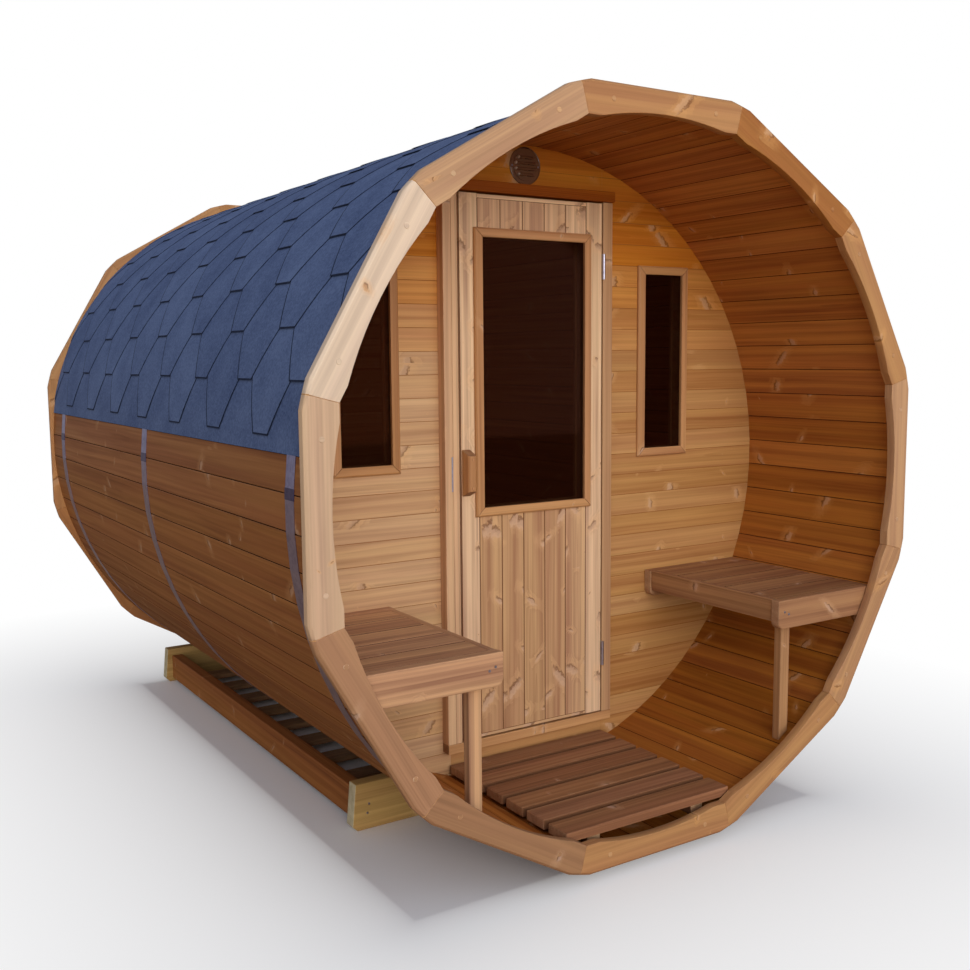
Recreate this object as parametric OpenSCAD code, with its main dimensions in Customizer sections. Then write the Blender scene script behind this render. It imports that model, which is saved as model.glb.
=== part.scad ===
// Barrel sauna with a covered front terrace.
// A barrel of bevelled staves lies on a saddle-cut cradle, with a ring of mitred planks on each end.
// Frame: X across, Y from the terrace to the rear, Z up. The origin is on the ground under the middle.

/* [Barrel] */
// Length over both end rings
barrel_len = 2650; // [2300:10:3200]
// Inside width of the barrel, across the flats of two opposite staves
barrel_inner_d = 1984; // [1900:4:2100]
// Number of staves round the barrel
stave_count = 72; // [64:8:88]
// Thickness of a stave
stave_t = 28; // [24:1:40]
// Chamfer on the outer long edges of a stave
stave_chamfer = 2; // [1:0.5:4]
// Depth of the groove in the staves that holds an end wall
groove_depth = 8; // [5:0.5:12]
// Clearance between pieces that are fitted together
fit_gap = 0.3; // [0.2:0.05:0.5]

/* [End rings] */
// Number of mitred planks in a ring
ring_planks = 12; // [10:2:16]
// Thickness of a ring plank
ring_t = 28; // [20:1:40]
// Width of a ring plank
ring_plank_w = 87; // [80:1:100]
// How far the ring stands out beyond the flat of a stave
ring_proud = 11; // [6:0.5:16]
// How far the rounded inner edge of a ring reaches inside the barrel
ring_lip = 25; // [12:1:32]
// Chamfer along the outer edge of a ring plank
ring_chamfer = 7; // [3:0.5:10]
// How far the outer corners of a ring are rounded off, measured along each mitre
ring_corner = 9; // [2:0.5:12]

/* [End walls] */
// Thickness of an end wall
wall_t = 42; // [30:1:60]
// Depth of the terrace, from the front end to the front wall
front_inset = 642; // [600:2:900]
// Distance from the rear end to the rear wall
rear_inset = 78; // [50:1:200]

/* [Floor] */
// Height of the floor boards over the lowest inside of the barrel
floor_h = 80; // [74:1:110]
// Free strip between the ends of the floor boards and the staves
floor_side = 20; // [8:1:60]
// Width of a floor board
floor_board_w = 80; // [70:1:120]
// Thickness of a floor board
floor_board_t = 28; // [20:1:32]
// Gap between two floor boards
floor_gap = 20; // [6:1:30]
// Free strip at each end of a floor
floor_margin = 8; // [4:1:20]
// Distance between the middles of the two floor battens
batten_spacing = 380; // [300:5:420]
// Width of a floor batten
batten_w = 45; // [30:1:60]

/* [Door frame] */
// Width over the door casings
frame_w = 636; // [600:2:680]
// How far the frame stands out from the front wall
frame_proud = 36; // [25:1:45]
// Thickness of the jambs and of the head
jamb_t = 22; // [18:1:30]
// Width of the casing beside the latch jamb
latch_casing_w = 28; // [20:1:40]
// Width of the casing lip beside the hinge jamb
hinge_casing_w = 16; // [12:1:30]
// Height of the header board over the door
header_h = 32; // [28:1:50]
// How far the header board stands out from the wall
header_proud = 50; // [46:1:60]
// How far the header board reaches past the casings
header_over = 0; // [0:1:15]
// Height of the threshold
threshold_h = 30; // [20:1:40]

/* [Door leaf] */
// Distance of the leaf's upper edge from the top inside of the barrel
leaf_drop = 160; // [156:1:240]
// Thickness of the door leaf
leaf_t = 40; // [34:1:50]
// Height of the leaf's lower edge over the floor
leaf_step = 79; // [60:1:90]
// Running gap round the door leaf
leaf_gap = 5; // [5:0.5:8]
// Width of the glass that shows in the door
door_glass_w = 384; // [300:2:400]
// Height of the glass that shows in the door
door_glass_h = 813; // [600:2:840]
// Distance of the glass from the upper edge of the leaf
door_glass_drop = 127; // [60:1:200]
// Width of the handle block
handle_w = 29; // [24:1:36]
// Depth of the handle block
handle_d = 41; // [30:1:48]
// Height of the handle block
handle_h = 143; // [110:1:180]
// Height of the handle's middle over the lower edge of the leaf
handle_mid = 835; // [760:5:1000]
// Distance of the handle block from the latch edge of the leaf
handle_edge = 3; // [2:0.5:8]

/* [Door hinges] */
// Height of a hinge
hinge_h = 80; // [60:1:100]
// Distance from an end of the leaf to the middle of a hinge
hinge_inset = 198; // [120:1:300]
// Outer radius of a hinge knuckle
hinge_r = 5.5; // [5:0.1:6.5]
// Radius of a hinge pin
hinge_pin_r = 3; // [2.5:0.1:3.5]
// Thickness of a hinge plate
hinge_plate_t = 1.7; // [1.2:0.1:2]
// Depth of a hinge plate in the seam beside the leaf
hinge_plate_d = 25; // [15:1:32]
// Radial running clearance of a hinge pin
hinge_play = 0.06; // [0.03:0.01:0.1]

/* [Glass and trim] */
// Thickness of the glass
glass_t = 6; // [4:0.5:8]
// How far a pane reaches behind its trim
glass_lap = 6; // [4:0.5:10]
// Width of the mitred trim round a pane
trim_w = 28; // [22:1:36]
// Thickness of the trim
trim_t = 12; // [8:0.5:16]
// Bevel on the outer edge of the trim
trim_bevel = 5; // [2:0.5:7]

/* [Windows] */
// Width of the glass that shows in a window
window_w = 164; // [120:2:190]
// Distance between a door casing and the trim of a window
window_gap = 135; // [80:1:160]
// Free height between the upper corner of a window's trim and the staves
window_rim = 82; // [60:1:240]
// Height of the window glass over the middle of the wall
window_low = 38; // [0:2:60]

/* [Vent] */
// Diameter of the vent flange
vent_d = 114; // [90:1:116]
// Width of the flange round the vent's collar
vent_flange = 12; // [8:1:16]
// Distance of the vent's middle from the top inside of the barrel
vent_drop = 61; // [59:0.5:64]
// Number of louvres in the vent
vent_louvres = 4; // [3:1:5]
// Height of a louvre slot
louvre_h = 9; // [6:0.5:10]
// Thickness of the sheet that the vent is made of
vent_sheet = 2; // [1.5:0.1:3]

/* [Benches] */
// Height of a bench over the floor
bench_h = 529; // [420:1:540]
// Distance from the front ring to the front beam of a bench
bench_front = 3; // [1:1:90]
// Half of the free aisle between the two benches
bench_aisle = 495; // [470:1:560]
// Thickness of a bench beam
bench_beam_t = 32; // [22:1:36]
// Height of a bench beam
bench_beam_h = 88; // [80:1:120]
// Radius of the rounded lower end of a bench beam
bench_round = 22; // [10:1:35]
// Thickness of the apron along the aisle
apron_t = 20; // [14:1:28]
// Height of the apron along the aisle
apron_h = 68; // [50:1:78]
// How far the apron sits back from the ends of the beams
apron_back = 4; // [2:0.5:10]
// Number of slats in a bench
bench_slats = 5; // [4:1:6]
// Thickness of a bench slat
slat_t = 22; // [18:1:28]
// Gap between two bench slats
slat_gap = 4; // [3:0.5:8]
// Width of the cleats under the slats
cleat_w = 28; // [20:1:36]
// Height of the cleats under the slats
cleat_h = 36; // [24:1:44]
// Width of a leg
leg_w = 38; // [30:1:50]
// Depth of a leg
leg_d = 28; // [20:1:40]
// Distance of a leg from the aisle end of the beams
leg_inset = 46; // [30:1:70]

/* [Roof and hoops] */
// Number of staves that the roof covers
roof_staves = 33; // [27:2:37]
// Thickness of the roof covering
roof_t = 3.4; // [2.5:0.1:3.4]
// Width of a hoop
hoop_w = 50; // [20:1:60]
// Thickness of a hoop
hoop_t = 1; // [0.8:0.1:1]
// Distance from the front end to the middle of the front hoop
hoop_front = 115; // [80:1:200]
// Distance from the front end to the middle of the middle hoop
hoop_middle = 1291; // [1200:1:1350]
// Distance from the rear end to the middle of the rear hoop
hoop_rear = 210; // [190:1:260]

/* [Cradle] */
// Height of the rings over the ground
ground_gap = 30; // [24:1:60]
// Length of a cross beam
beam_len = 1246; // [1200:2:1500]
// Height of a cross beam
beam_h = 145; // [130:1:170]
// Thickness of a cross beam
beam_t = 45; // [36:1:60]
// Chamfer on the lower ends of a cross beam
beam_chamfer = 16; // [8:1:30]
// How far the upper ends of a cross beam lean in
beam_lean = 12; // [4:1:30]
// Distance from the front end to the front cross beam
beam_front = 659; // [400:1:800]
// Distance from the rear end to the rear cross beam
beam_rear = 82; // [60:1:120]
// Distance between the outer faces of the two bearers
bearer_span = 1188; // [1160:2:1190]
// Thickness of a bearer
bearer_t = 45; // [36:1:50]
// Height of a bearer
bearer_h = 100; // [80:1:120]
// Height of the bearers and slats over the ground
bearer_lift = 16; // [8:1:18]
// Number of slats between the bearers
cradle_slats = 9; // [6:1:12]
// Width of a cradle slat
cradle_slat_w = 75; // [50:1:95]
// Thickness of a cradle slat
cradle_slat_t = 20; // [14:1:20]

/* [Hidden] */

$fn = 96;
// Apothems of the barrel and the rings, measured from the barrel's axis
inner_a = barrel_inner_d / 2;
outer_a = inner_a + stave_t;
ring_a = outer_a + ring_proud;
ring_inner_r = inner_a - ring_lip;
plank_deg = 360 / ring_planks;
ring_corner_r = ring_a / cos(plank_deg / 2) - ring_corner;
stave_deg = 360 / stave_count;
stave_group = stave_count / 8;
// Height of the axis over the ground, and the front end of the barrel
axis_h = ring_a + ground_gap;
front_y = -barrel_len / 2;
// Places along the barrel, measured from its front end
rear_wall_y = barrel_len - rear_inset - wall_t;
cabin_y = [front_inset + wall_t + floor_margin, rear_wall_y - floor_margin];
terrace_y = [ring_t + floor_margin / 2, front_inset - floor_margin];
// Heights, measured from the axis
floor_top = floor_h - inner_a;
floor_low = floor_top - floor_board_t;
floor_half = chord(floor_low) - floor_side;
leaf_low = floor_top + leaf_step;
leaf_high = inner_a - leaf_drop;
threshold_top = leaf_low - leaf_gap;
threshold_low = threshold_top - threshold_h;
head_low = leaf_high + leaf_gap;
head_high = head_low + jamb_t;
bench_top = floor_top + bench_h;
bench_low = bench_top - bench_beam_h;
vent_z = inner_a - vent_drop;
// Doorway, across the wall
frame_half = frame_w / 2;
latch_jamb = -frame_half + latch_casing_w;
hinge_jamb = frame_half - hinge_casing_w;
latch_side = latch_jamb + jamb_t;
hinge_side = hinge_jamb - jamb_t;
leaf_x = [latch_side + leaf_gap, hinge_side - leaf_gap];
leaf_mid = (leaf_x[0] + leaf_x[1]) / 2;
leaf_y = front_inset - frame_proud;
doorway_x = [latch_jamb, hinge_jamb];
wall_cut = [doorway_x[0] - fit_gap, doorway_x[1] + fit_gap];
// Hinge axis, just in front of the seam beside the leaf
hinge_x = (leaf_x[1] + hinge_side) / 2;
hinge_y = leaf_y - hinge_r - fit_gap;
hinge_z = [leaf_low + hinge_inset, leaf_high - hinge_inset];
knuckle_h = hinge_h / 3;
door_glass_z = leaf_high - door_glass_drop - door_glass_h / 2;
window_x = frame_half + window_gap + trim_w + window_w / 2;
window_high = chord(window_x + window_w / 2 + trim_w) - window_rim - trim_w;
window_h = window_high - window_low;
window_z = (window_low + window_high) / 2;
// Bench, along and across
bench_y = [ring_t + bench_front, front_inset - fit_gap];
slat_y = [bench_y[0] + bench_beam_t + fit_gap, bench_y[1] - bench_beam_t - fit_gap];
apron_x = bench_aisle + apron_back;
slat_x = apron_x + apron_t + fit_gap;
slat_low = bench_top - slat_t;
// Layers on top of the staves
hoop_in = outer_a + fit_gap;
hoop_out = hoop_in + hoop_t;
roof_in = hoop_out + fit_gap;
roof_out = roof_in + roof_t;
// Angles of the roof's folds, from the ridge down to an eave
roof_turns = [0, for (k = [0 : (roof_staves - 1) / 2]) (k + 0.5) * stave_deg];
// Cradle, along the barrel
beam_rear_y = barrel_len - beam_rear - beam_t;
bearer_y = [beam_front + beam_t + fit_gap, beam_rear_y - fit_gap];
bearer_in = bearer_span / 2 - bearer_t;
// Larger than the whole building, for cutting away one side
far = 2 * barrel_len;
// Colours of the wood and the metal
stave_colour = "#8a4f24";
wall_colour = "#bf8a4c";
ring_colour = "#c08a58";
bench_colour = "#84523a";
trim_colour = "#b07a45";
glass_colour = "#33190f";
steel_colour = "#9a9eac";
slate_colour = "#34425f";
cradle_colour = "#a3935e";

// Corners of the many-sided outline that the flat staves make at one apothem
function facet_points(apothem) = [
  for (i = [0 : stave_count - 1])
    let (a = (i + 0.5) * stave_deg, r = apothem / cos(stave_deg / 2)) [r * sin(a), r * cos(a)]
];
// Half the inside width of the barrel at one height
function chord(z) = sqrt(pow(inner_a, 2) - pow(z, 2));

// A flat outline in X and Z, stretched along the barrel between two distances from its front end
module along(y) {
  translate([0, front_y + y[1], axis_h]) rotate([90, 0, 0]) linear_extrude(y[1] - y[0]) children();
}

// A plain board between two limits in X, along the barrel and over the axis
module board(x, y, z) {
  translate([x[0], front_y + y[0], axis_h + z[0]]) cube([x[1] - x[0], y[1] - y[0], z[1] - z[0]]);
}

// Turns a piece round the barrel's axis, clockwise as seen from the terrace
module turned(angle) {
  translate([0, 0, axis_h]) rotate([0, angle, 0]) translate([0, 0, -axis_h]) children();
}

module rectangle(x, z) {
  translate([x[0], z[0]]) square([x[1] - x[0], z[1] - z[0]]);
}

// What lies inside the staves, with the fitting clearance
module inside() {
  polygon(facet_points(inner_a - fit_gap));
}

// Staves
module stave_profile() {
  half = tan(stave_deg / 2);
  inner = inner_a * half - fit_gap / 2;
  edge = (outer_a - stave_chamfer) * half - fit_gap / 2;
  crown = outer_a * half - fit_gap / 2 - stave_chamfer;
  low = outer_a - stave_chamfer;
  polygon([
    [-inner, inner_a], [-edge, low], [-crown, outer_a],
    [crown, outer_a], [edge, low], [inner, inner_a]
  ]);
}

module stave() {
  groove_half = outer_a * tan(stave_deg);
  difference() {
    along([ring_t, barrel_len - ring_t]) stave_profile();
    for (y = [front_inset, rear_wall_y])
      board([-groove_half, groove_half], [y - fit_gap, y + wall_t + fit_gap], [0, inner_a + groove_depth]);
  }
}

module staves(group) {
  first = group * stave_group - floor(stave_group / 2);
  color(stave_colour)
    for (i = [first : first + stave_group - 1]) turned(i * stave_deg) stave();
}

// End rings of mitred planks, cut round inside
module ring_plank_profile() {
  half = tan(plank_deg / 2);
  low = ring_a - ring_plank_w;
  inner = low * half - fit_gap / 2;
  outer = ring_a * half - fit_gap / 2;
  difference() {
    polygon([[-inner, low], [-outer, ring_a], [outer, ring_a], [inner, low]]);
    circle(ring_inner_r);
  }
}

// A disc with a chamfered rim, which rounds off the corners where two planks meet
module ring_disc() {
  rotate_extrude($fn = 360)
    polygon([[0, 0], [ring_corner_r - ring_chamfer, 0], [ring_corner_r, ring_chamfer],
      [ring_corner_r, ring_t], [0, ring_t]]);
}

// A ring in its own frame, with its outer face at the front end
module ring() {
  cut = ring_chamfer * sqrt(2);
  for (k = [0 : ring_planks - 1]) turned(k * plank_deg) difference() {
    intersection() {
      along([0, ring_t]) ring_plank_profile();
      translate([0, front_y, axis_h]) rotate([-90, 0, 0]) ring_disc();
    }
    translate([0, front_y, axis_h + ring_a]) rotate([45, 0, 0]) cube([ring_a, cut, cut], center = true);
  }
}

module front_ring() { color(ring_colour) ring(); }
module rear_ring() { color(ring_colour) mirror([0, 1, 0]) ring(); }

// End walls, seated in the grooves of the staves
module wall_outline() { polygon(facet_points(inner_a + groove_depth - fit_gap)); }

module front_wall(x, z) {
  color(wall_colour) along([front_inset, front_inset + wall_t]) difference() {
    intersection() {
      wall_outline();
      rectangle(x, z);
    }
    for (side = [-1, 1]) translate([side * window_x, window_z])
      square([window_w + 2 * glass_lap, window_h + 2 * glass_lap], center = true);
    translate([0, vent_z]) circle(vent_d / 2 - vent_flange);
  }
}

module front_wall_left() { front_wall([-far, wall_cut[0]], [-far, far]); }
module front_wall_right() { front_wall([wall_cut[1], far], [-far, far]); }
module front_wall_over_door() { front_wall(doorway_x, [head_high + fit_gap, far]); }
module front_wall_under_door() { front_wall(doorway_x, [-far, threshold_low - fit_gap]); }
module rear_wall() { color(wall_colour) along([rear_wall_y, rear_wall_y + wall_t]) wall_outline(); }

// Door frame
module door_jambs() {
  depth = [leaf_y, front_inset + wall_t];
  casing = [leaf_y, front_inset];
  height = [threshold_top + fit_gap, head_low - fit_gap];
  color(trim_colour) {
    board([latch_jamb, latch_side], depth, height);
    board([-frame_half, latch_jamb - fit_gap], casing, height);
    union() {
      board([hinge_side, hinge_jamb], depth, height);
      board([hinge_side, frame_half], casing, height);
    }
  }
}

module door_header() {
  reach = frame_half + header_over;
  color(stave_colour) {
    board([-reach, reach], [front_inset - header_proud, front_inset], [head_low, head_low + header_h]);
    board([latch_jamb, hinge_jamb], [front_inset + fit_gap, front_inset + wall_t], [head_low, head_high]);
  }
}

// Threshold with a horn under each casing
module door_threshold() {
  height = [threshold_low, threshold_top];
  color(trim_colour) union() {
    board(doorway_x, [leaf_y, front_inset + wall_t], height);
    board([-frame_half, frame_half], [leaf_y, front_inset], height);
  }
}

// Door leaf with its glass, trim and handle blocks
module door_leaf() {
  color(wall_colour) along([leaf_y, leaf_y + leaf_t]) difference() {
    rectangle(leaf_x, [leaf_low, leaf_high]);
    translate([leaf_mid, door_glass_z])
      square([door_glass_w + 2 * glass_lap, door_glass_h + 2 * glass_lap], center = true);
  }
}

module pane(x, z, w, h, face) {
  color(glass_colour) along([face + fit_gap, face + fit_gap + glass_t]) translate([x, z])
    square([w + 2 * (glass_lap - fit_gap), h + 2 * (glass_lap - fit_gap)], center = true);
}

module door_glass() { pane(leaf_mid, door_glass_z, door_glass_w, door_glass_h, leaf_y); }

// One mitred strip of trim along X, with its inner edge at Z = 0, standing out towards -Y
module trim_strip(len) {
  cut = trim_bevel * sqrt(2);
  half = len / 2 - fit_gap;
  difference() {
    rotate([90, 0, 0]) linear_extrude(trim_t)
      polygon([[-half, 0], [half, 0], [half + trim_w, trim_w], [-half - trim_w, trim_w]]);
    translate([0, -trim_t, trim_w]) rotate([45, 0, 0]) cube([len + far, cut, cut], center = true);
  }
}

// Four strips round a pane of the given size
module trim_frame(w, h) {
  for (turn = [0, 180]) rotate([0, turn, 0]) {
    translate([0, 0, h / 2]) trim_strip(w);
    translate([w / 2, 0, 0]) rotate([0, 90, 0]) trim_strip(h);
  }
}

module trim_pair(x, z, w, h, outer_face, inner_face) {
  color(trim_colour) {
    translate([x, front_y + outer_face, axis_h + z]) trim_frame(w, h);
    translate([x, front_y + inner_face, axis_h + z]) mirror([0, 1, 0]) trim_frame(w, h);
  }
}

module door_trim() {
  trim_pair(leaf_mid, door_glass_z, door_glass_w, door_glass_h, leaf_y, leaf_y + leaf_t);
}

// A block with chamfered front edges and sloping ends, standing out towards -Y
module handle_block() {
  edge = handle_w / 5;
  slope = handle_h / 8;
  half = handle_h / 2;
  intersection() {
    translate([0, 0, -half]) linear_extrude(handle_h)
      polygon([[-handle_w / 2, 0], [-handle_w / 2, edge - handle_d], [edge - handle_w / 2, -handle_d],
        [handle_w / 2 - edge, -handle_d], [handle_w / 2, edge - handle_d], [handle_w / 2, 0]]);
    rotate([90, 0, -90]) linear_extrude(handle_w, center = true)
      polygon([[0, -half], [handle_d, slope - half], [handle_d, half - slope], [0, half]]);
  }
}

module door_handle() {
  x = leaf_x[0] + handle_edge + handle_w / 2;
  z = axis_h + leaf_low + handle_mid;
  color(trim_colour) {
    translate([x, front_y + leaf_y, z]) handle_block();
    translate([x, front_y + leaf_y + leaf_t, z]) mirror([0, 1, 0]) handle_block();
  }
}

// Butt hinges: a plate on each side of the seam, and knuckles on one pin in front of it
module hinge_knuckle(z) {
  translate([hinge_x, front_y + hinge_y, axis_h + z[0]]) cylinder(r = hinge_r, h = z[1] - z[0]);
}

module hinge_web(x, z) {
  board(x, [hinge_y, leaf_y + hinge_plate_d], z);
}

module frame_hinges() {
  x = [hinge_side - hinge_plate_t, hinge_side];
  color(steel_colour) for (mid = hinge_z) {
    low = mid - hinge_h / 2;
    high = mid + hinge_h / 2;
    union() {
      board(x, [leaf_y, leaf_y + hinge_plate_d], [low, high]);
      for (z = [[low, low + knuckle_h], [high - knuckle_h, high]]) {
        hinge_knuckle(z);
        hinge_web(x, z);
      }
      translate([hinge_x, front_y + hinge_y, axis_h + low]) cylinder(r = hinge_pin_r, h = hinge_h);
    }
  }
}

module door_hinges() {
  x = [leaf_x[1], leaf_x[1] + hinge_plate_t];
  color(steel_colour) for (mid = hinge_z) {
    z = [mid - knuckle_h / 2 + fit_gap, mid + knuckle_h / 2 - fit_gap];
    difference() {
      union() {
        board(x, [leaf_y, leaf_y + hinge_plate_d], [mid - hinge_h / 2, mid + hinge_h / 2]);
        hinge_knuckle(z);
        hinge_web(x, z);
      }
      translate([hinge_x, front_y + hinge_y, axis_h + z[0] - 1])
        cylinder(r = hinge_pin_r + hinge_play, h = z[1] - z[0] + 2);
    }
  }
}

// Windows beside the door
module window_trim(side) {
  trim_pair(side * window_x, window_z, window_w, window_h, front_inset, front_inset + wall_t);
}

module window_glass(side) { pane(side * window_x, window_z, window_w, window_h, front_inset); }

// A hood over a louvre slot: a quarter of a pipe along X with closed ends, open at its lower side
module louvre_hood(len) {
  difference() {
    intersection() {
      rotate([0, 90, 0]) cylinder(r = louvre_h, h = len, center = true);
      translate([-len / 2, 0, 0]) cube([len, louvre_h, louvre_h]);
    }
    rotate([0, 90, 0]) cylinder(r = louvre_h - vent_sheet / 2, h = len - vent_sheet, center = true);
  }
}

// Round vent with hooded louvres in the wall over the door
module vent_grille() {
  flange_r = vent_d / 2;
  collar_r = flange_r - vent_flange - fit_gap;
  mouth_r = collar_r - vent_sheet;
  pitch = 2 * mouth_r / (vent_louvres + 1);
  slot_h = louvre_h - vent_sheet;
  // Height of each slot's lower edge over the vent's middle, and the width of its hood
  lows = [for (k = [0 : vent_louvres - 1]) (k - (vent_louvres - 1) / 2) * pitch - louvre_h / 2];
  across = [
    for (low = lows) let (reach = max(abs(low), abs(low + louvre_h)))
      2 * sqrt(pow(collar_r, 2) - pow(reach, 2)) - vent_flange
  ];
  color(steel_colour) translate([0, front_y + front_inset, axis_h + vent_z]) rotate([90, 0, 0]) {
    difference() {
      union() {
        cylinder(r = flange_r, h = vent_sheet);
        translate([0, 0, -wall_t]) cylinder(r = collar_r, h = wall_t + 2 * vent_sheet);
      }
      translate([0, 0, -wall_t - 1]) cylinder(r = mouth_r, h = wall_t + 1);
      for (k = [0 : vent_louvres - 1]) translate([-across[k] / 2 + vent_sheet, lows[k], -1])
        cube([across[k] - 2 * vent_sheet, slot_h, wall_t]);
    }
    for (k = [0 : vent_louvres - 1]) translate([0, lows[k], 1.5 * vent_sheet]) louvre_hood(across[k]);
  }
}

// Terrace benches, drawn on the right and mirrored to the left
module bench_beam_outline() {
  intersection() {
    inside();
    difference() {
      rectangle([bench_aisle, far], [bench_low, bench_top]);
      translate([bench_aisle, bench_low]) difference() {
        square(bench_round);
        translate([bench_round, bench_round]) circle(bench_round);
      }
    }
  }
}

module bench_frame() {
  cleat_z = [slat_low - fit_gap - cleat_h, slat_low - fit_gap];
  cleat_y = [slat_y[0] + leg_d + fit_gap, slat_y[1]];
  outer_cleat = chord(cleat_z[0]) - 2 * cleat_w;
  leg_x = bench_aisle + leg_inset;
  color(bench_colour) {
    along([bench_y[0], bench_y[0] + bench_beam_t]) bench_beam_outline();
    along([bench_y[1] - bench_beam_t, bench_y[1]]) bench_beam_outline();
    board([apron_x, apron_x + apron_t], slat_y, [bench_top - apron_h, bench_top]);
    board([slat_x, slat_x + cleat_w], cleat_y, cleat_z);
    board([outer_cleat, outer_cleat + cleat_w], slat_y, cleat_z);
    along([slat_y[0], slat_y[0] + leg_d]) intersection() {
      inside();
      rectangle([leg_x, leg_x + leg_w], [-far, slat_low - fit_gap]);
    }
  }
}

module bench_slats() {
  pitch = (slat_y[1] - slat_y[0] + slat_gap) / bench_slats;
  color(bench_colour) for (k = [0 : bench_slats - 1])
    along([slat_y[0] + k * pitch, slat_y[0] + (k + 1) * pitch - slat_gap]) intersection() {
      inside();
      rectangle([slat_x, far], [slat_low, bench_top]);
    }
}

module on_side(side) {
  mirror([side < 0 ? 1 : 0, 0, 0]) children();
}

// Duckboard floors: boards across, on two battens scribed to the staves
module duckboard(y) {
  boards = floor((y[1] - y[0] + floor_gap) / (floor_board_w + floor_gap));
  pitch = (y[1] - y[0] + floor_gap) / boards;
  color(bench_colour) {
    for (k = [0 : boards - 1]) {
      start = y[0] + k * pitch;
      board([-floor_half, floor_half], [start, start + pitch - floor_gap], [floor_low, floor_top]);
    }
    for (side = [-1, 1]) along([y[0] + floor_gap, y[1] - floor_gap]) intersection() {
      inside();
      translate([side * batten_spacing / 2, 0])
        rectangle([-batten_w / 2, batten_w / 2], [-far, floor_low - fit_gap]);
    }
  }
}

module terrace_floor() { duckboard(terrace_y); }
module cabin_floor() { duckboard(cabin_y); }

// Roof covering, laid over the upper staves from the ridge down to one eave
function roof_arc(apothem) = [
  for (a = roof_turns) let (r = a == 0 ? apothem : apothem / cos(stave_deg / 2)) [r * sin(a), r * cos(a)]
];
function backwards(list) = [for (i = [len(list) - 1 : -1 : 0]) list[i]];

module roof() {
  color(slate_colour) along([ring_t + fit_gap, barrel_len - ring_t - fit_gap])
    polygon(concat(roof_arc(roof_out), backwards(roof_arc(roof_in))));
}

module hoops() {
  color(steel_colour) for (y = [hoop_front, hoop_middle, barrel_len - hoop_rear])
    along([y - hoop_w / 2, y + hoop_w / 2]) difference() {
      polygon(facet_points(hoop_out));
      polygon(facet_points(hoop_in));
    }
}

// Cradle: cross beams with a saddle for the barrel, bearers between them, and slats
module cradle_beam(y) {
  half = beam_len / 2;
  top = beam_h - axis_h;
  shoulder = beam_chamfer - axis_h;
  color(cradle_colour) along([y, y + beam_t]) difference() {
    polygon([[beam_lean - half, top], [-half, shoulder], [beam_chamfer - half, -axis_h],
      [half - beam_chamfer, -axis_h], [half, shoulder], [half - beam_lean, top]]);
    polygon(facet_points(outer_a + fit_gap));
  }
}

module cradle_bearers() {
  z = [bearer_lift - axis_h, bearer_lift + bearer_h - axis_h];
  color(stave_colour) for (side = [-1, 1]) on_side(side)
    board([bearer_in, bearer_in + bearer_t], bearer_y, z);
}

module cradle_slat_row() {
  reach = bearer_in - fit_gap;
  pitch = (bearer_y[1] - bearer_y[0]) / cradle_slats;
  z = [bearer_lift - axis_h, bearer_lift + cradle_slat_t - axis_h];
  color(stave_colour) for (k = [0 : cradle_slats - 1]) {
    mid = bearer_y[0] + (k + 0.5) * pitch;
    board([-reach, reach], [mid - cradle_slat_w / 2, mid + cradle_slat_w / 2], z);
  }
}

staves(0);  // staves_top
staves(1);  // staves_upper_right
staves(2);  // staves_right
staves(3);  // staves_lower_right
staves(4);  // staves_bottom
staves(5);  // staves_lower_left
staves(6);  // staves_left
staves(7);  // staves_upper_left
front_ring();
rear_ring();
front_wall_left();
front_wall_right();
front_wall_over_door();
front_wall_under_door();
rear_wall();
door_jambs();
door_header();
door_threshold();
frame_hinges();
door_leaf();
door_glass();
door_trim();
door_handle();
door_hinges();
window_trim(-1);  // window_trim_left
window_trim(1);  // window_trim_right
window_glass(-1);  // window_glass_left
window_glass(1);  // window_glass_right
vent_grille();
on_side(-1) bench_frame();  // bench_left_frame
on_side(-1) bench_slats();  // bench_left_slats
on_side(1) bench_frame();  // bench_right_frame
on_side(1) bench_slats();  // bench_right_slats
terrace_floor();
cabin_floor();
on_side(-1) roof();  // roof_left
on_side(1) roof();  // roof_right
hoops();
cradle_beam(beam_front);  // cradle_beam_front
cradle_beam(beam_rear_y);  // cradle_beam_rear
cradle_bearers();
cradle_slat_row();  // cradle_slats
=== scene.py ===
# %% [markdown]
# # Dressing a barrel sauna
# The building comes in as a finished frame, in metres: staves, rings, walls, door, benches and cradle.
# This lesson gives each piece its looks. A board on the real sauna is planed softwood that was baked
# brown and oiled, so every board gets soft edges, its own grain and its own tone.

# %% Load the frame
import math
import random

import bmesh
import bpy
from mathutils import Matrix, Vector


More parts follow.
